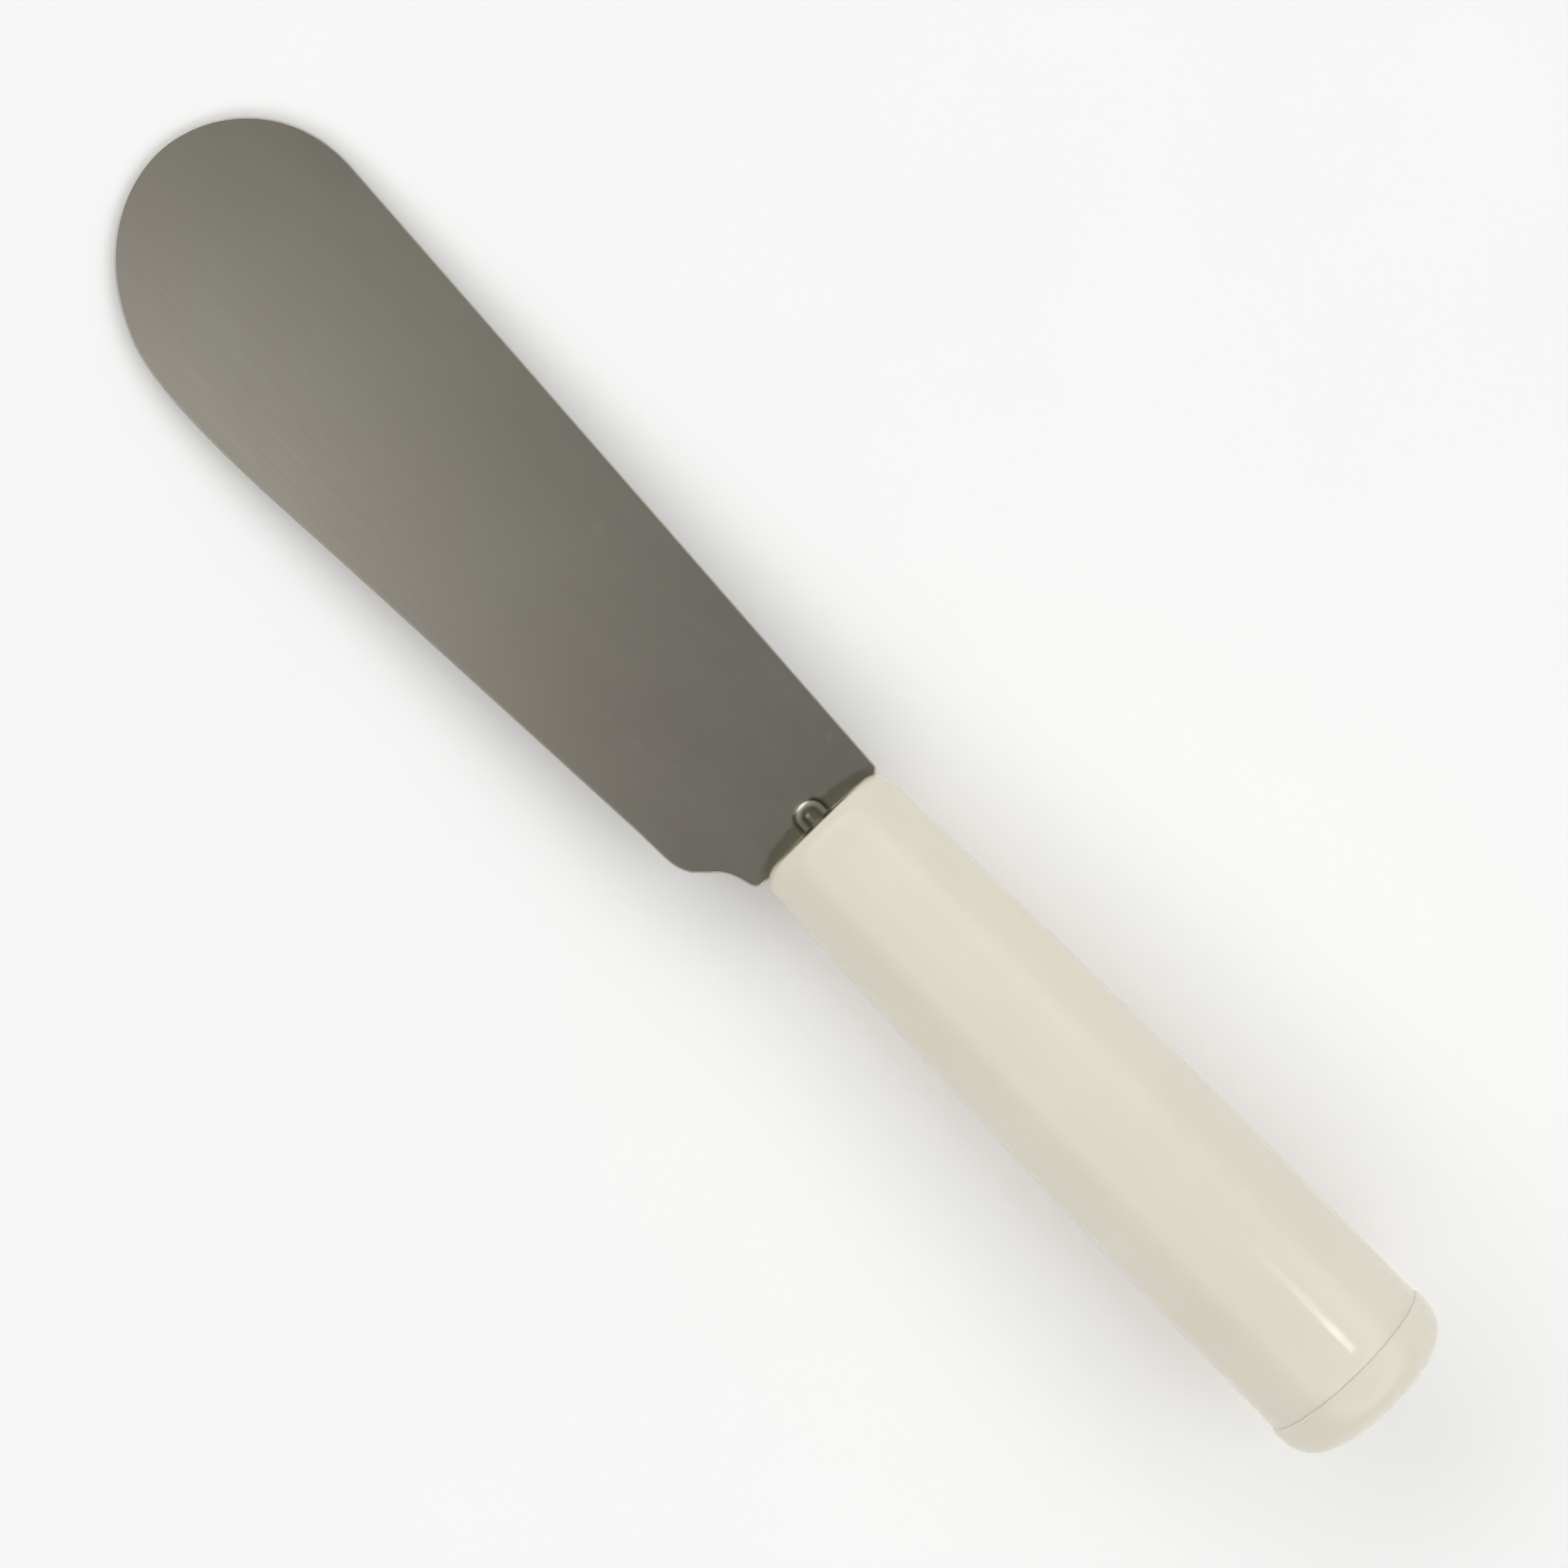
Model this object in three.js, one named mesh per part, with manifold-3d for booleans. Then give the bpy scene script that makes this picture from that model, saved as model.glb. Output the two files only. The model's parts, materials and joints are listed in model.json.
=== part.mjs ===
// Spreader knife: a round-tipped steel blade whose tang is cemented into a hollow moulded
// handle, and a domed cap that closes the butt. Millimetres, +Z up.
//
// Tool coordinates, used by every piece: x runs along the handle's axis towards the tip,
// with x = 0 on the handle's front face; y points to the side of the blade that has the
// choil; z = 0 is the mid-plane of the blade. At the end the whole tool is pitched so that
// it lies on its tip and on the front shoulder of the handle.

import * as THREE from 'three';
import { mergeVertices } from 'three/addons/utils/BufferGeometryUtils.js';
import Module from 'manifold-3d';

const wasm = await Module();
wasm.setup();

// Driving dimensions: the blade is widest at WIDEST_X
const BLADE_WIDTH = 31.75;
const BLADE_LENGTH = 103.4;
const WIDEST_X = 77.2;
const HANDLE_LENGTH = 88.9;
const GAP = 0.3;

// Blade
const BLADE_THICKNESS = 1.1;
const EDGE_ROUND = 0.5;
const EDGE_ROUND_HEIGHT = 0.3;
const BLADE_OFFSET = 2.63;
const ROOT_HALF_WIDTH = 11.49;
const SIDE_TAPER = (BLADE_WIDTH / 2 - ROOT_HALF_WIDTH) / WIDEST_X;
const TIP_Y = 0.4;
const HEEL_X = -0.5;
const SPINE_TURN_X = BLADE_LENGTH - 16.2;
const BELLY_TURN_X = BLADE_LENGTH - 46.7;
const CHOIL_X = 9.4;

// Pressed rib that runs from the blade into the tang
const RIB_NOSE_X = 1.15;
const RIB_REAR_X = -8;
const RIB_HALF_WIDTH = 1.7;
const RIB_HEIGHT = 0.45;

// Tang
const TANG_THICKNESS = 1.2;
const TANG_LENGTH = 38;
const TANG_ROOT_WIDTH = 12.4;
const TANG_END_WIDTH = 9;
const TANG_HOLE_RADIUS = 2;
const TANG_HOLES_X = [-18.5, -31];
const NOTCH_X = -24.8;
const NOTCH_RADIUS = 1.5;

// Handle
const FRONT_RADIUS = 8.84;
const REAR_RADIUS = 10.74;
const SHOULDER_ROUND = 2.2;
const SEAM_X = -82.4;
const FRONT_WALL = 12;
const BORE_FRONT_RADIUS = 7.1;
const BORE_REAR_RADIUS = 8.4;

// Butt cap
const CAP_RADIUS = 11.05;
const CAP_SPIGOT_LENGTH = 8;
const CAP_WALL = 1.6;

const CEMENT_REAR_X = -35.5;
const ROUND_STEPS = 48;

// Edges of the blade between the heel and the round tip
const spineY = (x) => BLADE_OFFSET - ROOT_HALF_WIDTH - SIDE_TAPER * x;
const bellyY = (x) => BLADE_OFFSET + ROOT_HALF_WIDTH + SIDE_TAPER * x;

// Long barrel line of the handle: the radius grows quickly at first and is level at the seam
function handleRadius(x) {
  const along = x / SEAM_X;
  return FRONT_RADIUS + (REAR_RADIUS - FRONT_RADIUS) * (1 - (1 - along) ** 2);
}

const boreRadius = (x) => {
  const along = (x + FRONT_WALL) / (SEAM_X + FRONT_WALL);
  return BORE_FRONT_RADIUS + (BORE_REAR_RADIUS - BORE_FRONT_RADIUS) * along;
};

const point = (x, y) => new THREE.Vector2(x, y);

// Points of a cubic curve without its first point
function cubic(from, control1, control2, to, steps) {
  return new THREE.CubicBezierCurve(from, control1, control2, to).getPoints(steps).slice(1);
}

// Points of a quadratic curve, both ends included
function corner(from, control, to, steps) {
  return new THREE.QuadraticBezierCurve(from, control, to).getPoints(steps);
}

// Points of a circular arc, both ends included
function arc(cx, cy, radius, start, end, steps) {
  const curve = new THREE.EllipseCurve(cx, cy, radius, radius, start, end, end < start);
  return curve.getPoints(steps);
}

function toManifold(geometry) {
  const bare = geometry.clone();
  bare.deleteAttribute('normal');
  bare.deleteAttribute('uv');
  const merged = mergeVertices(bare, 1e-5);
  const corners = merged.index.array;
  const kept = [];
  for (let i = 0; i < corners.length; i += 3) {
    const [a, b, c] = [corners[i], corners[i + 1], corners[i + 2]];
    if (a !== b && b !== c && c !== a) kept.push(a, b, c);
  }
  const vertProperties = new Float32Array(merged.attributes.position.array);
  const triVerts = new Uint32Array(kept);
  return new wasm.Manifold(new wasm.Mesh({ numProp: 3, vertProperties, triVerts }));
}

function toGeometry(manifold) {
  const { vertProperties, triVerts } = manifold.getMesh();
  const geometry = new THREE.BufferGeometry();
  geometry.setAttribute('position', new THREE.BufferAttribute(vertProperties, 3));
  geometry.setIndex(new THREE.BufferAttribute(triVerts, 1));
  const flat = geometry.toNonIndexed();
  flat.computeVertexNormals();
  return flat;
}

// A plate of even thickness about z = 0
function plate(outline, thickness, holes = []) {
  const shape = new THREE.Shape(outline);
  shape.holes = holes.map((hole) => new THREE.Path(hole));
  const geometry = new THREE.ExtrudeGeometry(shape, { depth: thickness, bevelEnabled: false });
  return geometry.translate(0, 0, -thickness / 2);
}

// A solid of revolution about the x axis, from (x, radius) points
function turned(profile) {
  const points = profile.map((p) => point(p.y, p.x));
  return new THREE.LatheGeometry(points, ROUND_STEPS).rotateZ(-Math.PI / 2);
}

function box(x0, x1, y0, y1, z0, z1) {
  const geometry = new THREE.BoxGeometry(x1 - x0, y1 - y0, z1 - z0);
  return geometry.translate((x0 + x1) / 2, (y0 + y1) / 2, (z0 + z1) / 2);
}

// Outline of the exposed blade, anticlockwise from the heel's spine corner
function bladeOutline() {
  const apex = point(BLADE_LENGTH, TIP_Y);
  const spineTurn = point(SPINE_TURN_X, spineY(SPINE_TURN_X));
  const bellyTurn = point(BELLY_TURN_X, bellyY(BELLY_TURN_X));
  const bellyRound = point(BLADE_LENGTH - 12.7, BLADE_OFFSET + 14.05);
  const heelSpine = spineY(HEEL_X);
  return [
    ...corner(
      point(HEEL_X, heelSpine + 0.9),
      point(HEEL_X, heelSpine),
      point(HEEL_X + 0.9, spineY(HEEL_X + 0.9)),
      4,
    ),
    spineTurn,
    ...cubic(
      spineTurn,
      point(SPINE_TURN_X + 10.5, spineY(SPINE_TURN_X + 10.5)),
      point(BLADE_LENGTH, TIP_Y - 6.65),
      apex,
      14,
    ),
    ...cubic(
      apex,
      point(BLADE_LENGTH, TIP_Y + 4.9),
      point(BLADE_LENGTH - 2.8, BLADE_OFFSET + 10.1),
      bellyRound,
      11,
    ),
    ...cubic(
      bellyRound,
      point(BLADE_LENGTH - 20, BLADE_OFFSET + 16.97),
      point(BELLY_TURN_X + 9.1, bellyY(BELLY_TURN_X + 9.1)),
      bellyTurn,
      10,
    ),
    ...corner(point(CHOIL_X, bellyY(CHOIL_X) + 0.1), point(7.1, 14.7), point(5.75, 13.72), 5),
    ...corner(point(4.3, 12.25), point(3.3, 10.95), point(1.6, 10.45), 5),
    ...corner(point(0.5, 10.15), point(HEEL_X, 9.87), point(HEEL_X, 9.1), 4),
  ];
}

function bladePlate() {
  const geometry = new THREE.ExtrudeGeometry(new THREE.Shape(bladeOutline()), {
    depth: BLADE_THICKNESS - 2 * EDGE_ROUND_HEIGHT,
    bevelEnabled: true,
    bevelThickness: EDGE_ROUND_HEIGHT,
    bevelSize: EDGE_ROUND,
    bevelOffset: -EDGE_ROUND,
    bevelSegments: 2,
  });
  return geometry.translate(0, 0, EDGE_ROUND_HEIGHT - BLADE_THICKNESS / 2);
}

const tangHalfWidth = (x) => {
  const along = -x / TANG_LENGTH;
  return (TANG_ROOT_WIDTH + (TANG_END_WIDTH - TANG_ROOT_WIDTH) * along) / 2;
};

// One side of the tang from the root to its end, with the cement notch
function tangSide(side, grow) {
  const middle = tangHalfWidth(NOTCH_X);
  const bite = NOTCH_RADIUS - grow;
  const notch = arc(NOTCH_X, middle + grow, bite, 0, -Math.PI, 6);
  return [
    point(-0.1, tangHalfWidth(0) + grow),
    ...notch,
    point(-TANG_LENGTH + 1.5, tangHalfWidth(-TANG_LENGTH + 1.5) + grow),
    point(-TANG_LENGTH - grow, tangHalfWidth(-TANG_LENGTH) - 1.5),
  ].map((p) => point(p.x, side * p.y));
}

// The tang as a plate; grow widens it all round to make the room that it lies in
function tangPlate(grow) {
  const outline = [...tangSide(1, grow), ...tangSide(-1, grow).reverse()];
  const holes = TANG_HOLES_X.map((x) =>
    arc(x, 0, TANG_HOLE_RADIUS - grow, 0, 2 * Math.PI, 16).slice(0, 16),
  );
  return plate(outline, TANG_THICKNESS + 2 * grow, holes);
}

// The rib's round bar: only the part that stands above the sheet's face shows
const RIB_ROUND = (RIB_HALF_WIDTH ** 2 + RIB_HEIGHT ** 2) / (2 * RIB_HEIGHT);
const RIB_Z = BLADE_THICKNESS / 2 + RIB_HEIGHT - RIB_ROUND;

function ribBar(radius, rearX) {
  const nose = arc(RIB_NOSE_X, 0, radius, 0, Math.PI / 2, 6);
  const rear = arc(rearX, 0, radius, Math.PI / 2, Math.PI, 6);
  const bar = turned([...nose, ...rear].reverse());
  return bar.translate(0, 0, RIB_Z);
}

// The bar above the middle of the sheet only
function ribTop(radius, rearX) {
  const above = box(rearX - 6, RIB_NOSE_X + 6, -6, 6, 0, 6);
  return toManifold(ribBar(radius, rearX)).intersect(toManifold(above));
}

function bladeGeometry() {
  const rib = ribTop(RIB_ROUND, RIB_REAR_X);
  const groove = toManifold(ribBar(RIB_ROUND - BLADE_THICKNESS, RIB_REAR_X));
  const blank = toManifold(bladePlate()).add(toManifold(tangPlate(0)));
  return toGeometry(blank.add(rib).subtract(groove));
}

// Outer line of the handle from the middle of the front face to the seam
function handleSkin() {
  const round = SHOULDER_ROUND;
  const top = handleRadius(-round);
  const shoulder = arc(-round, top - round, round, 0, Math.PI / 2, 6);
  const steps = 12;
  const barrel = Array.from({ length: steps }, (_, i) => {
    const x = -round + ((SEAM_X + round) * (i + 1)) / steps;
    return point(x, handleRadius(x));
  });
  return [point(0, 0), ...shoulder, ...barrel];
}

function handleGeometry() {
  const profile = [
    ...handleSkin(),
    point(SEAM_X, BORE_REAR_RADIUS),
    point(-FRONT_WALL, BORE_FRONT_RADIUS),
    point(-FRONT_WALL, 0),
  ];
  const heelRoom = BLADE_THICKNESS / 2 + GAP;
  const heelSlot = box(HEEL_X - GAP, 2, -12, 12, -heelRoom, heelRoom);
  return toGeometry(
    toManifold(turned(profile.reverse()))
      .subtract(toManifold(heelSlot))
      .subtract(toManifold(tangPlate(GAP)))
      .subtract(ribTop(RIB_ROUND + GAP, -FRONT_WALL)),
  );
}

// Hollow moulding: a domed end, a lip a little proud of the handle and a spigot for the bore
function capGeometry() {
  const front = SEAM_X - GAP;
  const end = -HANDLE_LENGTH;
  const spigotTip = front + CAP_SPIGOT_LENGTH;
  const spigotRadius = boreRadius(spigotTip) - GAP;
  const inner = spigotRadius - CAP_WALL;
  const lip = point(front - 0.5, CAP_RADIUS);
  const dome = point(end + 0.8, 7.95);
  const skin = [
    ...corner(point(front, REAR_RADIUS), point(front - 0.1, CAP_RADIUS), lip, 3),
    ...cubic(lip, point(end + 2.6, CAP_RADIUS - 0.1), point(end + 1.5, 9.9), dome, 8),
    ...corner(dome, point(end + 0.1, 6), point(end, 0), 6).slice(1),
  ];
  const hollow = [
    point(end + CAP_WALL, 0),
    point(end + CAP_WALL + 0.3, inner - 1.2),
    point(end + CAP_WALL + 1.5, inner),
  ];
  const profile = [
    ...hollow,
    point(spigotTip, inner),
    point(spigotTip, spigotRadius - 0.4),
    point(spigotTip - 0.6, spigotRadius),
    point(front, boreRadius(front) - GAP),
    ...skin,
  ];
  return turned(profile.reverse());
}

// The resin round the tang, with a peg through each hole of the tang
function cementGeometry() {
  const front = -FRONT_WALL - GAP;
  const plug = turned([
    point(CEMENT_REAR_X, 0),
    point(CEMENT_REAR_X, boreRadius(CEMENT_REAR_X) - GAP),
    point(front, boreRadius(front) - GAP),
    point(front, 0),
  ]);
  return toGeometry(toManifold(plug).subtract(toManifold(tangPlate(GAP))));
}

function piece(name, geometry, color, roughness, metalness) {
  const material = new THREE.MeshStandardMaterial({ color, roughness, metalness });
  const mesh = new THREE.Mesh(geometry, material);
  mesh.name = name;
  return mesh;
}

const tool = new THREE.Group();
tool.add(piece('blade', bladeGeometry(), 0x8f8c87, 0.32, 1));
tool.add(piece('handle_shell', handleGeometry(), 0xe6dfcc, 0.3, 0));
tool.add(piece('butt_cap', capGeometry(), 0xe6dfcc, 0.3, 0));
tool.add(piece('tang_cement', cementGeometry(), 0xb9a27a, 0.6, 0));

// Pitch of the tool where it lies: the steepest line from the underside of the tip
// to the underside of the handle
const tipX = BLADE_LENGTH - EDGE_ROUND;
const pitches = handleSkin().map((p) => Math.atan2(p.y - BLADE_THICKNESS / 2, tipX - p.x));
tool.rotation.y = Math.max(...pitches);

// Origin at the bottom centre of the whole tool
const bounds = new THREE.Box3().setFromObject(tool, true);
tool.position.set(
  -(bounds.min.x + bounds.max.x) / 2,
  -(bounds.min.y + bounds.max.y) / 2,
  -bounds.min.z,
);

const group = new THREE.Group();
group.add(tool);

export default group;
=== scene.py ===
"""Spreader knife: the fine surface, materials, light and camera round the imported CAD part."""
import json
import math

import bmesh
import bpy
import numpy as np
from mathutils import Matrix, Vector
from mathutils.geometry import delaunay_2d_cdt


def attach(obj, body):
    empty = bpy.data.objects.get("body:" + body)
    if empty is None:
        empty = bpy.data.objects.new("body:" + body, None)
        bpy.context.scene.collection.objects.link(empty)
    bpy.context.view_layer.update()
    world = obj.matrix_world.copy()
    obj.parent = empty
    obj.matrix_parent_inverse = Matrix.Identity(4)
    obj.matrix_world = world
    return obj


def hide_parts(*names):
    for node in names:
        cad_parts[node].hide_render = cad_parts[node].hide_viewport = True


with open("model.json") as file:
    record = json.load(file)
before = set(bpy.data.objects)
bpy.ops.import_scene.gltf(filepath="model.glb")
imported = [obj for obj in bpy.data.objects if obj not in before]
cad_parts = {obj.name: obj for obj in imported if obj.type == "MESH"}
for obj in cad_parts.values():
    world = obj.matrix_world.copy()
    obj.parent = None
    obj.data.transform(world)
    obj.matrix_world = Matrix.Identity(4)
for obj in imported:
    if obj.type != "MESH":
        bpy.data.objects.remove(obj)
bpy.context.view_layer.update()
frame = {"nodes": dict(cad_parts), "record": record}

# ---------------------------------------------------------------------------
# Tool coordinates: millimetres, x from the handle's front face to the tip,
# y to the side with the choil, z = 0 in the middle of the sheet
# ---------------------------------------------------------------------------
MOUNT = frame["record"]["mounts"][0]
UP = Vector(MOUNT["axis"]).normalized()
SIDE = Vector((0, 1, 0))
ALONG = SIDE.cross(UP)


def span(node, axis):
    """Lowest and highest place of a CAD node along an axis, in metres."""
    places = [v.co.dot(axis) for v in frame["nodes"][node].data.vertices]
    return min(places), max(places)


def middle(node, axis):
    """The middle of a CAD node along an axis, in metres."""
    return sum(span(node, axis)) / 2


FACE = span("handle_shell", ALONG)[1]
ORIGIN = FACE * ALONG + middle("handle_shell", SIDE) * SIDE + middle("handle_shell", UP) * UP
TO_FRAME = Matrix.Translation(ORIGIN) @ (
    Matrix((ALONG, SIDE, UP)).transposed().to_4x4() @ Matrix.Scale(0.001, 4)
)

BLADE_LENGTH = (span("blade", ALONG)[1] - FACE) * 1000
SEAM_X = (span("handle_shell", ALONG)[0] - FACE) * 1000
END_X = (span("butt_cap", ALONG)[0] - FACE) * 1000
TANG_END_X = (span("blade", ALONG)[0] - FACE) * 1000
REAR_RADIUS = (span("handle_shell", UP)[1] - span("handle_shell", UP)[0]) * 500
CAP_RADIUS = (span("butt_cap", UP)[1] - span("butt_cap", UP)[0]) * 500
HALF_SHEET = (Vector(MOUNT["pos_m"]) - ORIGIN).dot(UP) * 1000

# Blade
BLADE_OFFSET = 2.63
ROOT_HALF_WIDTH = 11.49
SIDE_TAPER = 0.0568
TIP_Y = 0.4
SPINE_TURN_X = BLADE_LENGTH - 16.2
BELLY_TURN_X = BLADE_LENGTH - 46.7
CHOIL_X = 9.4
HEEL_X = -0.5
EDGE_ROUND = 0.22
EDGE_FLAT = 0.3

# Pressed rib, with the small fillet at its foot
RIB_NOSE_X = 1.15
RIB_REAR_X = -8.0
RIB_HALF_WIDTH = 1.7
RIB_HEIGHT = 0.45
RIB_FILLET = 0.05
RIB_ROUND = (RIB_HALF_WIDTH**2 + RIB_HEIGHT**2) / (2 * RIB_HEIGHT)

# Tang
TANG_HALF_WIDTH = 6.2
TANG_EXTRA = 0.05
TANG_HOLES_X = (-18.5, -31)
TANG_HOLE_RADIUS = 2
NOTCH_X = -24.8
NOTCH_RADIUS = 1.5

# Handle
FRONT_RADIUS = 8.84
SHOULDER_ROUND = 2.2
FRONT_WALL = 12.0
BORE_FRONT_RADIUS = 7.1
BORE_REAR_RADIUS = 8.4
FIT = 0.03

# Butt cap
SEAM_GAP = 0.02
SPIGOT_LENGTH = 8
SPIGOT_PLAY = 0.08
CAP_WALL = 1.6


def bezier(points, steps):
    """Points of a quadratic or cubic curve, both ends included."""
    s = np.linspace(0, 1, steps + 1)[:, None]
    p = [np.array(q, float) for q in points]
    while len(p) > 1:
        p = [(1 - s) * a + s * b for a, b in zip(p, p[1:])]
    return [tuple(q) for q in p[0]]


def arc(cx, cy, radius, start, end, steps):
    """Points of a circular arc between two angles in degrees, both ends included."""
    angles = np.radians(np.linspace(start, end, steps + 1))
    return [(cx + radius * math.cos(a), cy + radius * math.sin(a)) for a in angles]


def smooth_step(edge0, edge1, x):
    t = min(max((x - edge0) / (edge1 - edge0), 0.0), 1.0)
    return t * t * (3 - 2 * t)


# ---------------------------------------------------------------------------
# Meshes
# ---------------------------------------------------------------------------
def new_object(name, verts, faces):
    """An object in the scene, from verts and faces in tool coordinates."""
    mesh = bpy.data.meshes.new(name)
    mesh.from_pydata([tuple(v) for v in verts], [], faces)
    mesh.transform(TO_FRAME)
    obj = bpy.data.objects.new(name, mesh)
    bpy.context.scene.collection.objects.link(obj)
    return obj


def turn_outwards(mesh, weld=False):
    """Turns every face outwards, and first joins the verts that lie together if asked."""
    shell = bmesh.new()
    shell.from_mesh(mesh)
    if weld:
        bmesh.ops.remove_doubles(shell, verts=shell.verts, dist=1e-8)
    bmesh.ops.recalc_face_normals(shell, faces=shell.faces)
    shell.to_mesh(mesh)
    shell.free()


def finish_piece(obj, node, material, sharp_angle):
    """Shades a piece, and puts it in place of a CAD node."""
    mesh = obj.data
    turn_outwards(mesh, weld=True)
    mesh.shade_smooth()
    mesh.set_sharp_from_angle(angle=math.radians(sharp_angle))
    mesh.materials.clear()
    mesh.materials.append(material)
    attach(obj, "root")
    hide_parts(node)


def lathe(profile, steps=192):
    """Verts and faces of a closed body turned about the x axis, from (x, radius) points."""
    verts, faces, rows = [], [], []
    for x, radius in profile:
        if radius < 1e-6:
            rows.append([len(verts)] * steps)
            verts.append((x, 0.0, 0.0))
            continue
        rows.append(list(range(len(verts), len(verts) + steps)))
        for i in range(steps):
            turn = 2 * math.pi * i / steps
            verts.append((x, radius * math.sin(turn), radius * math.cos(turn)))
    for near, far in zip(rows, rows[1:] + rows[:1]):
        if near[0] == near[1] and far[0] == far[1]:
            continue
        for i in range(steps):
            j = (i + 1) % steps
            corners = [near[i], near[j], far[j], far[i]]
            face = [c for k, c in enumerate(corners) if c not in corners[:k]]
            faces.append(face)
    return verts, faces


def spine_y(x):
    return BLADE_OFFSET - ROOT_HALF_WIDTH - SIDE_TAPER * x


def belly_y(x):
    return BLADE_OFFSET + ROOT_HALF_WIDTH + SIDE_TAPER * x


def blade_outline():
    """The exposed blade, anticlockwise from the heel's spine corner."""
    tip = BLADE_LENGTH
    apex = (tip, TIP_Y)
    spine_turn = (SPINE_TURN_X, spine_y(SPINE_TURN_X))
    belly_turn = (BELLY_TURN_X, belly_y(BELLY_TURN_X))
    belly_round = (tip - 12.7, BLADE_OFFSET + 14.05)
    heel = spine_y(HEEL_X)
    return [
        *bezier([(HEEL_X, heel + 0.9), (HEEL_X, heel), (HEEL_X + 0.9, spine_y(HEEL_X + 0.9))], 8),
        *[(x, spine_y(x)) for x in np.linspace(3, tip - 22, 8)],
        *bezier(
            [
                spine_turn,
                (SPINE_TURN_X + 10.5, spine_y(SPINE_TURN_X + 10.5)),
                (tip, TIP_Y - 6.65),
                apex,
            ],
            56,
        ),
        *bezier([apex, (tip, TIP_Y + 4.9), (tip - 2.8, BLADE_OFFSET + 10.1), belly_round], 44)[1:],
        *bezier(
            [
                belly_round,
                (tip - 20, BLADE_OFFSET + 16.97),
                (BELLY_TURN_X + 9.1, belly_y(BELLY_TURN_X + 9.1)),
                belly_turn,
            ],
            40,
        )[1:],
        *[(x, belly_y(x)) for x in np.linspace(tip - 52, 13, 7)],
        *bezier([(CHOIL_X, belly_y(CHOIL_X) + 0.1), (7.1, 14.7), (5.75, 13.72)], 12),
        *bezier([(4.3, 12.25), (3.3, 10.95), (1.6, 10.45)], 12),
        *bezier([(0.5, 10.15), (HEEL_X, 9.87), (HEEL_X, 9.1)], 8),
    ]


def inset(outline, distance):
    """The outline moved inwards by a distance, point for point."""
    p = np.array(outline)
    before = p - np.roll(p, 1, axis=0)
    after = np.roll(p, -1, axis=0) - p
    before /= np.linalg.norm(before, axis=1)[:, None]
    after /= np.linalg.norm(after, axis=1)[:, None]
    normals = [np.stack([-e[:, 1], e[:, 0]], axis=1) for e in (before, after)]
    mean = normals[0] + normals[1]
    reach = 2 / (mean**2).sum(axis=1)
    return p + mean * (reach * distance)[:, None]


def inside(points, outline):
    """Which points lie within a closed outline."""
    x, y = points[:, 0], points[:, 1]
    found = np.zeros(len(points), bool)
    for (x0, y0), (x1, y1) in zip(outline, np.roll(outline, -1, axis=0)):
        crosses = (y0 > y) != (y1 > y)
        if y1 != y0:
            found ^= crosses & (x < (x1 - x0) * (y - y0) / (y1 - y0) + x0)
    return found


def grid(x0, x1, y0, y1, step):
    xs = np.arange(x0, x1, step)
    ys = np.arange(y0, y1, step)
    return np.stack([a.ravel() for a in np.meshgrid(xs, ys)], axis=1)


def rib_distance(x, y):
    """Distance to the middle line of the pressed rib."""
    return math.hypot(x - min(max(x, RIB_REAR_X), RIB_NOSE_X), y)


def dome(distance, radius):
    """Height of a round bar's top above the sheet, with a small fillet at its foot."""
    drop = radius - math.sqrt(max(radius**2 - distance**2, 0.0))
    height = RIB_HEIGHT - drop if distance < radius else RIB_HEIGHT - radius
    soft = (height + math.sqrt(height**2 + RIB_FILLET**2)) / 2
    return soft * (1 - smooth_step(radius, radius + 0.6, distance))


def rib_top(x, y):
    return dome(rib_distance(x, y), RIB_ROUND)


def rib_under(x, y):
    return dome(rib_distance(x, y), RIB_ROUND - 2 * HALF_SHEET)


def blade_side(outline, sign, relief):
    """One face of the blade with its half of the rounded edge: verts and faces."""
    rise = HALF_SHEET - EDGE_FLAT
    section = [(0.0, 0.0)]
    section += [
        (EDGE_ROUND * (1 - math.cos(a)), EDGE_FLAT + rise * math.sin(a))
        for a in np.radians(np.linspace(0, 90, 8))
    ]
    section += [(EDGE_ROUND + 0.06, HALF_SHEET), (EDGE_ROUND + 0.22, HALF_SHEET)]
    rings = [inset(outline, d) for d, _ in section]
    count = len(outline)
    verts = [(x, y, sign * z) for ring, (_, z) in zip(rings, section) for x, y in ring]
    faces = []
    for k in range(len(rings) - 1):
        for i in range(count):
            j = (i + 1) % count
            a, b = k * count, (k + 1) * count
            faces.append((a + i, a + j, b + j, b + i))
    border = rings[-1]
    spread = np.concatenate(
        [
            grid(0.15, 4.6, -3.2, 3.25, 0.13),
            grid(0.6, 9, -9, 12, 0.9),
            grid(5, BLADE_LENGTH, -14, 19, 4.1),
        ]
    )
    near = inset(outline, EDGE_ROUND + 0.5)
    spread = spread[inside(spread, near)]
    flat = [Vector(p) for p in np.concatenate([border, spread])]
    loop = [list(range(count))]
    points, _, triangles, *_ = delaunay_2d_cdt(flat, [], loop, 1, 1e-6)
    base = len(verts)
    verts += [(p.x, p.y, sign * HALF_SHEET + relief(p.x, p.y)) for p in points]
    faces += [tuple(base + c for c in t) for t in triangles]
    return verts, faces


def tang_outline():
    """The tang, with a round notch for the resin in each side."""
    half = [
        (-0.1, TANG_HALF_WIDTH),
        *arc(NOTCH_X, 5.09, NOTCH_RADIUS, 0, -180, 12),
        (TANG_END_X + 1.5, 4.57),
        (TANG_END_X, 3.0),
    ]
    return half + [(x, -y) for x, y in reversed(half)]


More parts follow.
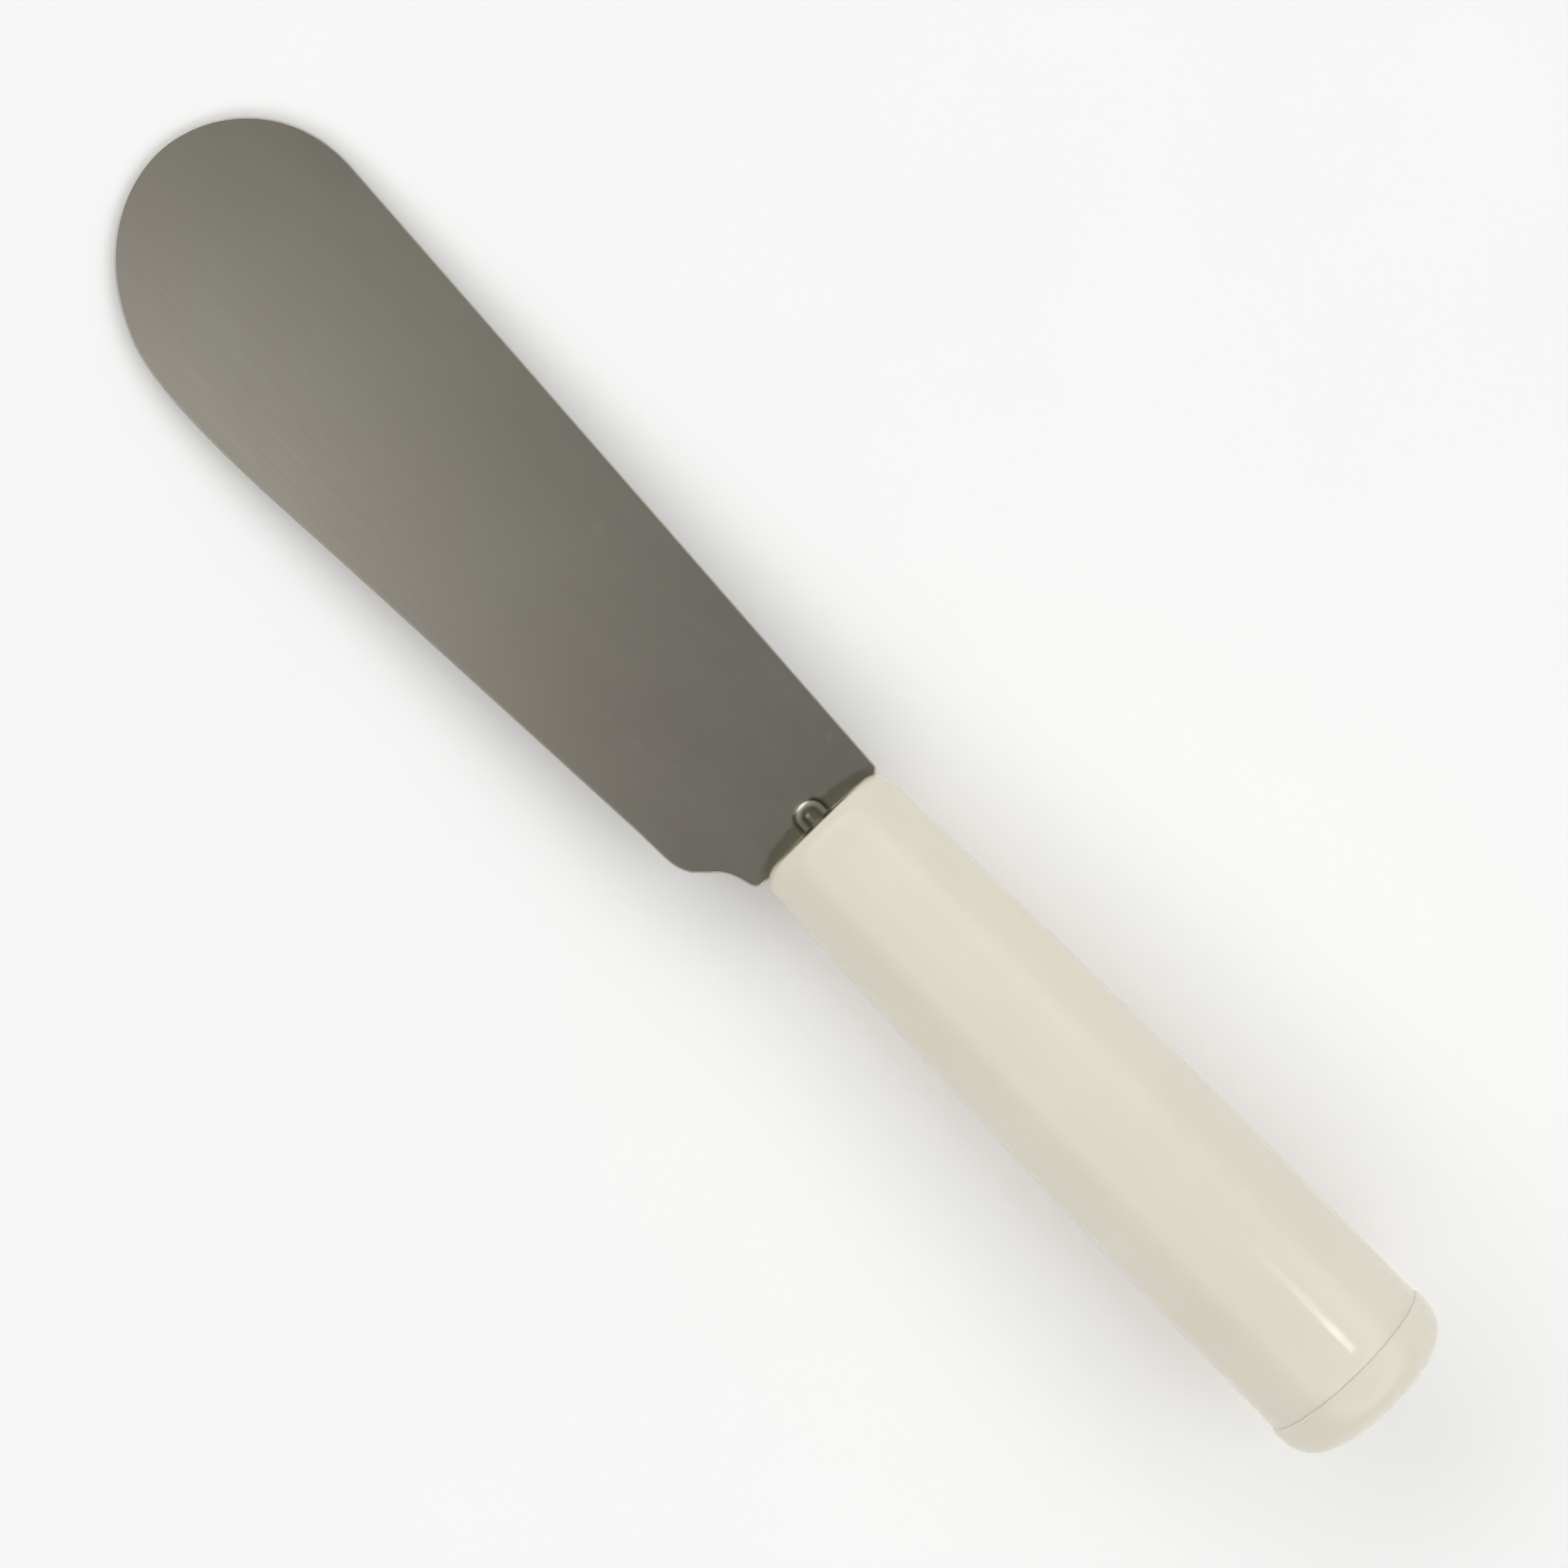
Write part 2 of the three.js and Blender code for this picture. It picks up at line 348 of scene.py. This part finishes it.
def plate_with_holes(outline, holes, half_height):
    """Verts and faces of a flat plate with round holes."""
    loops = [outline, *holes]
    flat = [Vector(p) for loop in loops for p in loop]
    starts = np.cumsum([0] + [len(loop) for loop in loops])
    rims = [list(range(a, b)) for a, b in zip(starts, starts[1:])]
    points, _, triangles, *_ = delaunay_2d_cdt(flat, [], rims, 4, 1e-6)
    count = len(points)
    verts = [(p.x, p.y, half_height) for p in points] + [(p.x, p.y, -half_height) for p in points]
    faces = [tuple(t) for t in triangles] + [tuple(c + count for c in t) for t in triangles]
    for rim in rims:
        for a, b in zip(rim, rim[1:] + rim[:1]):
            faces.append((a, b, b + count, a + count))
    return verts, faces


def join(*bodies):
    verts, faces = [], []
    for body_verts, body_faces in bodies:
        base = len(verts)
        verts += body_verts
        faces += [tuple(base + c for c in face) for face in body_faces]
    return verts, faces


def make_blade(material):
    outline = blade_outline()
    upper = blade_side(outline, 1, rib_top)
    under = blade_side(outline, -1, rib_under)
    holes = [arc(x, 0, TANG_HOLE_RADIUS, 0, 360, 32)[:-1] for x in TANG_HOLES_X]
    tang = plate_with_holes(tang_outline(), holes, HALF_SHEET + TANG_EXTRA)
    blade = new_object("blade_steel", *join(upper, under, tang))
    finish_piece(blade, "blade", material, 50)


def handle_radius(x):
    along = x / SEAM_X
    return FRONT_RADIUS + (REAR_RADIUS - FRONT_RADIUS) * (1 - (1 - along) ** 2)


def bore_radius(x):
    along = (x + FRONT_WALL) / (SEAM_X + FRONT_WALL)
    return BORE_FRONT_RADIUS + (BORE_REAR_RADIUS - BORE_FRONT_RADIUS) * along


def handle_profile():
    top = handle_radius(-SHOULDER_ROUND)
    shoulder = arc(-SHOULDER_ROUND, top - SHOULDER_ROUND, SHOULDER_ROUND, 0, 90, 14)
    rear = SEAM_X + 0.03
    barrel = [(x, handle_radius(x)) for x in np.linspace(-SHOULDER_ROUND, rear, 40)[1:]]
    return [
        (0.0, 0.0),
        (0.0, 4.0),
        *shoulder,
        *barrel,
        (SEAM_X + 0.01, REAR_RADIUS - 0.01),
        (SEAM_X, REAR_RADIUS - 0.03),
        (SEAM_X, BORE_REAR_RADIUS),
        (-FRONT_WALL, BORE_FRONT_RADIUS),
        (-FRONT_WALL, 0.0),
    ]


def box_mesh(x0, x1, y0, y1, z0, z1):
    verts = [(x, y, z) for x in (x0, x1) for y in (y0, y1) for z in (z0, z1)]
    faces = [(0, 1, 3, 2), (4, 6, 7, 5), (0, 4, 5, 1), (2, 3, 7, 6), (0, 2, 6, 4), (1, 5, 7, 3)]
    return verts, faces


def cut(obj, verts, faces):
    """Cuts a body, given in tool coordinates, out of an object."""
    cutter = new_object("cutter", verts, faces)
    turn_outwards(cutter.data)
    step = obj.modifiers.new("cut", "BOOLEAN")
    step.operation = "DIFFERENCE"
    step.solver = "EXACT"
    step.object = cutter
    bpy.context.view_layer.update()
    graph = bpy.context.evaluated_depsgraph_get()
    result = bpy.data.meshes.new_from_object(obj.evaluated_get(graph))
    obj.modifiers.clear()
    obj.data = result
    bpy.data.objects.remove(cutter)


def make_handle(material):
    """The moulded tube, cut out where the blade's heel, the tang and the rib enter it."""
    handle = new_object("handle_moulding", *lathe(handle_profile()))
    turn_outwards(handle.data)
    half = HALF_SHEET + FIT
    cut(handle, *box_mesh(HEEL_X - FIT, 2, -12, 12, -half, half))
    half = HALF_SHEET + TANG_EXTRA + FIT
    wide = TANG_HALF_WIDTH + 0.1
    cut(handle, *box_mesh(-FRONT_WALL - 1, 1, -wide, wide, -half, half))
    nose = arc(RIB_NOSE_X, 0, RIB_ROUND + FIT, 0, 90, 12)
    rear = arc(-FRONT_WALL, 0, RIB_ROUND + FIT, 90, 180, 12)
    bar_z = HALF_SHEET + RIB_HEIGHT - RIB_ROUND
    bar_verts, bar_faces = lathe(nose + rear, 64)
    bar_verts = [(x, y, max(z + bar_z, 0.1)) for x, y, z in bar_verts]
    cut(handle, bar_verts, bar_faces)
    finish_piece(handle, "handle_shell", material, 32)


def make_cap(material):
    """The cap: its hollow, the spigot in the handle's bore, the proud lip and the dome."""
    front = SEAM_X - SEAM_GAP
    lip = (SEAM_X - 0.8, CAP_RADIUS)
    shoulder = (END_X + 0.8, 7.95)
    spigot_tip = front + SPIGOT_LENGTH
    spigot = bore_radius(spigot_tip) - SPIGOT_PLAY
    inner = spigot - CAP_WALL
    profile = [
        (END_X + 1.6, 0.0),
        *bezier([(END_X + 1.6, 0.5), (END_X + 1.7, inner), (END_X + 3.1, inner)], 10),
        (spigot_tip, inner),
        (spigot_tip, spigot - 0.4),
        (spigot_tip - 0.6, spigot),
        (front, bore_radius(front) - SPIGOT_PLAY),
        (front, REAR_RADIUS - 0.02),
        *bezier([(front, REAR_RADIUS), (front - 0.12, CAP_RADIUS), lip], 10),
        *bezier([lip, (END_X + 2.6, CAP_RADIUS - 0.1), (END_X + 1.5, 9.9), shoulder], 30)[1:],
        *bezier([shoulder, (END_X + 0.1, 6.0), (END_X, 0.0)], 20)[1:],
    ]
    cap = new_object("cap_moulding", *lathe(profile))
    finish_piece(cap, "butt_cap", material, 32)


# ---------------------------------------------------------------------------
# Materials
# ---------------------------------------------------------------------------
# The painted reflection of the handle's shaded front face, on the blade at the handle, in millimetres
HEEL_SHADE_DEPTH = 2.0
HEEL_SHADE_HALF_WIDTH = FRONT_RADIUS - 0.3


def add(tree, kind, inputs=None, **settings):
    """A shader node with its settings, its input values and its links."""
    made = tree.nodes.new(kind)
    for key, value in settings.items():
        setattr(made, key, value)
    for key, value in (inputs or {}).items():
        if isinstance(value, bpy.types.NodeSocket):
            tree.links.new(value, made.inputs[key])
        else:
            made.inputs[key].default_value = value
    return made


def new_material(name):
    """A material with an empty principled shader, and the object's own coordinates."""
    material = bpy.data.materials.new(name)
    material.use_nodes = True
    tree = material.node_tree
    tree.nodes.clear()
    shader = add(tree, "ShaderNodeBsdfPrincipled")
    output = add(tree, "ShaderNodeOutputMaterial")
    tree.links.new(shader.outputs["BSDF"], output.inputs["Surface"])
    place = add(tree, "ShaderNodeTexCoord").outputs["Object"]
    return material, tree, shader, place


def noise(tree, place, scale, detail=2.0, stretch=(1, 1, 1), rough=0.5):
    """Grey noise, with scale in features per metre."""
    moved = add(tree, "ShaderNodeMapping", {"Vector": place, "Scale": stretch})
    made = add(
        tree,
        "ShaderNodeTexNoise",
        {
            "Vector": moved.outputs["Vector"],
            "Scale": scale,
            "Detail": detail,
            "Roughness": rough,
        },
    )
    return made.outputs["Fac"]


def ramp(tree, value, low, high, to_low=0.0, to_high=1.0):
    """A value carried from one range to another, and clamped."""
    made = add(
        tree,
        "ShaderNodeMapRange",
        {
            "Value": value,
            "From Min": low,
            "From Max": high,
            "To Min": to_low,
            "To Max": to_high,
        },
    )
    return made.outputs["Result"]


def blend_colour(tree, factor, first, second):
    """The first colour where the factor is 0, and the second where it is 1."""
    made = add(tree, "ShaderNodeMix", data_type="RGBA")
    tree.links.new(factor, made.inputs["Factor"])
    for key, value in (("A", first), ("B", second)):
        socket = [s for s in made.inputs if s.name == key and s.type == "RGBA"][0]
        if isinstance(value, bpy.types.NodeSocket):
            tree.links.new(value, socket)
        else:
            socket.default_value = (*value, 1)
    return [s for s in made.outputs if s.type == "RGBA"][0]


def maths(tree, first, second, operation="ADD"):
    """Two values put together by a math node, added unless another operation is named."""
    made = add(tree, "ShaderNodeMath", operation=operation)
    for socket, value in zip(made.inputs, (first, second)):
        if isinstance(value, bpy.types.NodeSocket):
            tree.links.new(value, socket)
        else:
            socket.default_value = value
    return made.outputs[0]


def bump(tree, shader, height, depth):
    """Gives a shader a bump, with its depth in metres."""
    made = add(tree, "ShaderNodeBump", {"Height": height, "Distance": depth, "Strength": 1.0})
    tree.links.new(made.outputs["Normal"], shader.inputs["Normal"])


def tool_place(tree, place):
    """The tool's own x and y, in millimetres."""
    from_face = add(tree, "ShaderNodeVectorMath", {0: place, 1: ORIGIN}, operation="SUBTRACT")
    places = []
    for axis in (ALONG, SIDE):
        part = add(
            tree,
            "ShaderNodeVectorMath",
            {0: from_face.outputs["Vector"], 1: axis * 1000},
            operation="DOT_PRODUCT",
        )
        places.append(part.outputs["Value"])
    return places


def squares(tree, first, second):
    """The sum of two squares."""
    first = maths(tree, first, first, "MULTIPLY")
    return maths(tree, first, maths(tree, second, second, "MULTIPLY"))


def heel_painted_reflection(tree, place, x, y):
    """Painted reflection of the handle's shaded front face where the blade enters the handle: an
    arch, deepest in the middle.
    """
    uneven = ramp(tree, noise(tree, place, 900, 2), 0.3, 0.7, -0.2, 0.2)
    arch = squares(
        tree,
        maths(tree, x, maths(tree, HEEL_SHADE_DEPTH, uneven), "DIVIDE"),
        maths(tree, y, HEEL_SHADE_HALF_WIDTH, "DIVIDE"),
    )
    return ramp(tree, arch, 0.8, 1.15, 0.9, 0.0)


def rib_painted_shade(tree, x, y):
    """Painted shade on the rib: dark round its crown, which is left unpainted, up to the bright rim
    of its nose.
    """
    ahead = maths(tree, maths(tree, x, RIB_NOSE_X, "SUBTRACT"), 0.0, "MAXIMUM")
    near = squares(tree, ahead, y)
    foot = ramp(tree, near, (RIB_HALF_WIDTH + 0.2) ** 2, (RIB_HALF_WIDTH + 0.6) ** 2, 0.92, 0.0)
    # No painted shade along the crown line, so the lamp's highlight shows there
    off_crown = ramp(tree, near, 0.2, 0.8, 0.0, 1.0)
    behind_rim = ramp(tree, x, 2.4, 2.8, 1.0, 0.0)
    return maths(tree, maths(tree, foot, off_crown, "MULTIPLY"), behind_rim, "MULTIPLY")


def satin_steel():
    """Polished steel: grain, rubbed marks, faint water spots, and painted reflection and shade at the
    handle and on the rib.
    """
    material, tree, shader, place = new_material("satin_steel")
    x, y = tool_place(tree, place)
    shader.inputs["Metallic"].default_value = 1.0
    cloud = ramp(tree, noise(tree, place, 22, 2), 0.35, 0.65)
    grain = noise(tree, place, 260, 3, (0.12, 6, 1), 0.6)
    rub = noise(tree, place, 90, 4, (1, 3, 1), 0.65)
    spots = ramp(tree, noise(tree, place, 420, 1), 0.74, 0.8)
    colour = blend_colour(tree, cloud, (0.535, 0.495, 0.425), (0.56, 0.53, 0.455))
    colour = blend_colour(tree, ramp(tree, grain, 0.3, 0.7, 0, 0.25), colour, (0.50, 0.47, 0.405))
    colour = blend_colour(tree, ramp(tree, spots, 0, 1, 0, 0.12), colour, (0.66, 0.63, 0.56))
    # Painted reflection: a dark olive arch, the handle's shaded front face mirrored in the blade
    colour = blend_colour(tree, heel_painted_reflection(tree, place, x, y), colour, (0.36, 0.345, 0.24))
    # Painted shade: near-black on the rib round its crown
    colour = blend_colour(tree, rib_painted_shade(tree, x, y), colour, (0.11, 0.105, 0.075))
    tree.links.new(colour, shader.inputs["Base Color"])
    rough = ramp(tree, rub, 0.3, 0.7, 0.16, 0.19)
    rough = maths(tree, rough, ramp(tree, grain, 0.3, 0.7, 0, 0.02))
    rough = maths(tree, rough, ramp(tree, spots, 0, 1, 0, 0.03))
    tree.links.new(rough, shader.inputs["Roughness"])
    bump(tree, shader, maths(tree, grain, ramp(tree, rub, 0, 1, 0, 0.8)), 0.0000006)
    return material


def cream_plastic(name, seed):
    """Glossy moulded plastic: slight mottling, fine pitting and handling marks."""
    material, tree, shader, place = new_material(name)
    moved = add(tree, "ShaderNodeMapping", {"Vector": place, "Location": (seed, seed, 0)})
    place = moved.outputs["Vector"]
    mottle = ramp(tree, noise(tree, place, 60, 3), 0.35, 0.65)
    fine = noise(tree, place, 1400, 3)
    haze = ramp(tree, noise(tree, place, 120, 4, (1, 3, 3), 0.6), 0.35, 0.7)
    scuff = ramp(tree, noise(tree, place, 300, 2, (0.3, 4, 4)), 0.66, 0.74)
    colour = blend_colour(tree, mottle, (0.768, 0.724, 0.60), (0.793, 0.749, 0.625))
    colour = blend_colour(tree, ramp(tree, scuff, 0, 1, 0, 0.12), colour, (0.71, 0.66, 0.53))
    tree.links.new(colour, shader.inputs["Base Color"])
    rough = maths(tree, ramp(tree, haze, 0, 1, 0.1, 0.15), ramp(tree, scuff, 0, 1, 0, 0.08))
    tree.links.new(rough, shader.inputs["Roughness"])
    shader.inputs["IOR"].default_value = 1.48
    shader.inputs["Specular IOR Level"].default_value = 0.3
    shader.inputs["Subsurface Weight"].default_value = 0.08
    shader.inputs["Subsurface Radius"].default_value = (0.004, 0.003, 0.002)
    bump(tree, shader, maths(tree, fine, ramp(tree, haze, 0, 1, 0, 1.5)), 0.000004)
    return material


def amber_resin():
    """The resin inside the handle."""
    material, tree, shader, place = new_material("amber_resin")
    cloud = ramp(tree, noise(tree, place, 150, 3), 0.3, 0.7)
    bubbles = ramp(tree, noise(tree, place, 900, 1), 0.68, 0.78)
    colour = blend_colour(tree, cloud, (0.42, 0.29, 0.13), (0.55, 0.41, 0.22))
    colour = blend_colour(tree, bubbles, colour, (0.62, 0.5, 0.32))
    tree.links.new(colour, shader.inputs["Base Color"])
    tree.links.new(ramp(tree, cloud, 0, 1, 0.45, 0.65), shader.inputs["Roughness"])
    bump(tree, shader, bubbles, 0.00003)
    return material


def pale_floor():
    """Matt white, very slightly clouded."""
    material, tree, shader, place = new_material("pale_floor")
    cloud = noise(tree, place, 30, 3)
    colour = blend_colour(tree, cloud, (0.955, 0.955, 0.95), (0.975, 0.975, 0.97))
    tree.links.new(colour, shader.inputs["Base Color"])
    tree.links.new(ramp(tree, cloud, 0, 1, 0.7, 0.85), shader.inputs["Roughness"])
    shader.inputs["Specular IOR Level"].default_value = 0.2
    return material


# ---------------------------------------------------------------------------
# Floor, light and camera
# ---------------------------------------------------------------------------
def make_floor():
    mesh = bpy.data.meshes.new("floor")
    mesh.from_pydata([(-3, -3, 0), (3, -3, 0), (3, 3, 0), (-3, 3, 0)], [], [(0, 1, 2, 3)])
    floor = bpy.data.objects.new("floor", mesh)
    bpy.context.scene.collection.objects.link(floor)
    mesh.materials.append(pale_floor())


# Brightness of the tent: at the horizon, in the ring overhead, inside the ring, the least
# that the sides fall to, the gain on the spine's side, and the patch that the blade mirrors
HORIZON_LEVEL = 0.55
RING_LEVEL = 2.7
OVERHEAD_LEVEL = 0.205
SIDE_LEVEL = 0.33
SIDE_LEAN = 0.1
PATCH_LEVEL = 0.67

# Camera: its turn in degrees, its lens in millimetres, and its place in metres from ORIGIN
CAMERA_TURN = 45.6
CAMERA_LENS = 93.7
CAMERA_ALONG = 0.00573
CAMERA_SIDE = -0.00031
CAMERA_HEIGHT = 0.448


def direction(along, side):
    """A direction leaning from the blade's normal by degrees towards the tip and the choil."""
    lean = math.tan(math.radians(along)) * ALONG + math.tan(math.radians(side)) * SIDE
    return (UP + lean).normalized()


def glow(tree, ray, towards, inner, outer, level):
    """A soft round patch of light in the sky, full within inner degrees and gone at outer."""
    near = add(tree, "ShaderNodeVectorMath", {0: ray, 1: towards}, operation="DOT_PRODUCT")
    made = add(
        tree,
        "ShaderNodeMapRange",
        {
            "Value": near.outputs["Value"],
            "From Min": math.cos(math.radians(outer)),
            "From Max": math.cos(math.radians(inner)),
            "To Min": 0.0,
            "To Max": level,
        },
        interpolation_type="SMOOTHERSTEP",
    )
    return made.outputs["Result"]


def make_studio():
    """A white tent: brightest in a ring overhead, and greyer at the sides and inside the ring."""
    world = bpy.data.worlds.new("studio")
    bpy.context.scene.world = world
    world.use_nodes = True
    tree = world.node_tree
    tree.nodes.clear()
    ray = add(tree, "ShaderNodeTexCoord").outputs["Generated"]
    across = add(tree, "ShaderNodeVectorMath", {0: ray, 1: SIDE}, operation="DOT_PRODUCT")
    across = across.outputs["Value"]
    level = maths(tree, HORIZON_LEVEL, glow(tree, ray, UP, 45, 80, RING_LEVEL - HORIZON_LEVEL))
    dim = maths(tree, 1.0, maths(tree, across, across, "MULTIPLY"), "SUBTRACT")
    level = maths(tree, level, dim, "MULTIPLY")
    level = maths(tree, level, SIDE_LEVEL, "MAXIMUM")
    shade = maths(tree, 1.0, glow(tree, ray, UP, 18, 52, 1 - OVERHEAD_LEVEL / RING_LEVEL), "SUBTRACT")
    level = maths(tree, level, shade, "MULTIPLY")
    level = maths(tree, level, ramp(tree, across, -1, 1, SIDE_LEAN, -SIDE_LEAN))
    level = maths(tree, level, glow(tree, ray, direction(9, 9), 1, 11, PATCH_LEVEL))
    back = add(tree, "ShaderNodeBackground", {"Color": (1.0, 1.0, 1.0, 1.0), "Strength": level})
    output = add(tree, "ShaderNodeOutputWorld")
    tree.links.new(back.outputs["Background"], output.inputs["Surface"])


def make_lamp(name, towards, distance, wide, deep, power):
    """A strip lamp that faces the tool, wide across it and deep along it."""
    data = bpy.data.lights.new(name, "AREA")
    data.shape = "RECTANGLE"
    data.size = wide
    data.size_y = deep
    data.energy = power
    lamp = bpy.data.objects.new(name, data)
    bpy.context.scene.collection.objects.link(lamp)
    across = (SIDE - SIDE.dot(towards) * towards).normalized()
    turn = Matrix((across, towards.cross(across), towards)).transposed().to_4x4()
    lamp.matrix_world = Matrix.Translation(ORIGIN + towards * distance) @ turn


def make_camera():
    """Straight above the blade, over the handle's front, turned so that the tip is upper left."""
    turn = math.radians(CAMERA_TURN)
    right = -math.cos(turn) * ALONG - math.sin(turn) * SIDE
    up = math.sin(turn) * ALONG - math.cos(turn) * SIDE
    data = bpy.data.cameras.new("camera")
    data.sensor_width = 36
    data.lens = CAMERA_LENS
    data.clip_start = 0.01
    camera = bpy.data.objects.new("camera", data)
    bpy.context.scene.collection.objects.link(camera)
    place = ORIGIN + CAMERA_ALONG * ALONG + CAMERA_SIDE * SIDE + CAMERA_HEIGHT * UP
    camera.matrix_world = Matrix.Translation(place) @ (
        Matrix((right, up, UP)).transposed().to_4x4()
    )
    bpy.context.scene.camera = camera


make_camera()
make_studio()
make_lamp("key_lamp", direction(-16.4, -15.7), 0.8, 0.12, 0.015, 0.15)
make_floor()
make_blade(satin_steel())
make_handle(cream_plastic("cream_plastic", 0.0))
make_cap(cream_plastic("cream_plastic_cap", 0.31))
frame["nodes"]["tang_cement"].data.materials.clear()
frame["nodes"]["tang_cement"].data.materials.append(amber_resin())

bpy.context.scene.view_settings.view_transform = "Standard"
